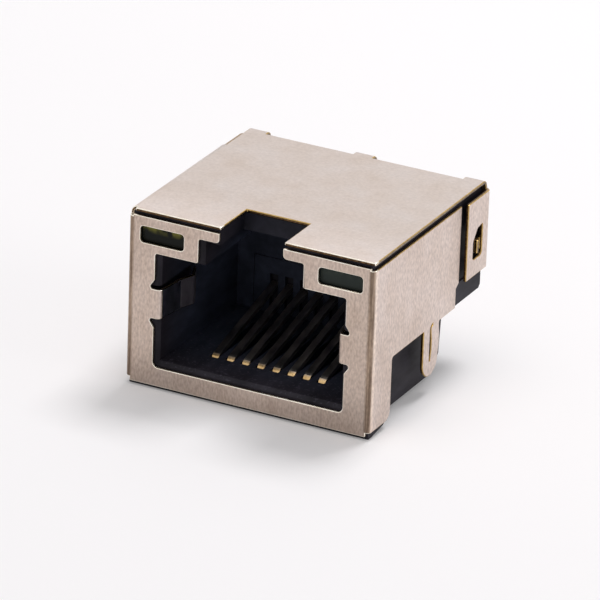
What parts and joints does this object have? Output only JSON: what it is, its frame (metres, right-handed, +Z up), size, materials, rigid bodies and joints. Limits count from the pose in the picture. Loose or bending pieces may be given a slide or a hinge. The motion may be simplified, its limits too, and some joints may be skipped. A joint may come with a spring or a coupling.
{
  "type": "rj45 board jack",
  "caption": "Shielded modular network jack that sinks into a notch in a board's edge, with a folded metal shell, sprung side fingers, soldered side legs and indicator windows.",
  "frame": {"origin": "middle of the footprint, at the lowest edge of the lip under the front panel", "axes": "+X across the port, to the right when looking into it; +Y from the front face to the rear; +Z up, away from the board"},
  "size_m": [0.0168, 0.0148, 0.0114],
  "materials": {
    "shell_nickel": "satin nickel plate on thin spring sheet, with bare golden-brown cut edges",
    "housing_black": "fine matt moulding",
    "carrier_black": "fine matt moulding",
    "contact_gold": "gold plate on phosphor bronze",
    "lens_yellow": "tinted clear epoxy, unlit",
    "lens_green": "tinted clear epoxy, unlit",
    "lead_tin": "tinned wire"
  },
  "bodies": {
    "root": {"shell": "shell_nickel", "housing": "housing_black", "contact_carrier": "carrier_black", "contact_1": "contact_gold", "contact_2": "contact_gold", "contact_3": "contact_gold", "contact_4": "contact_gold", "contact_5": "contact_gold", "contact_6": "contact_gold", "contact_7": "contact_gold", "contact_8": "contact_gold", "led_left": "lens_yellow", "led_right": "lens_green", "led_lead_left_inner": "lead_tin", "led_lead_left_outer": "lead_tin", "led_lead_right_inner": "lead_tin", "led_lead_right_outer": "lead_tin"}
  },
  "joints": []
}
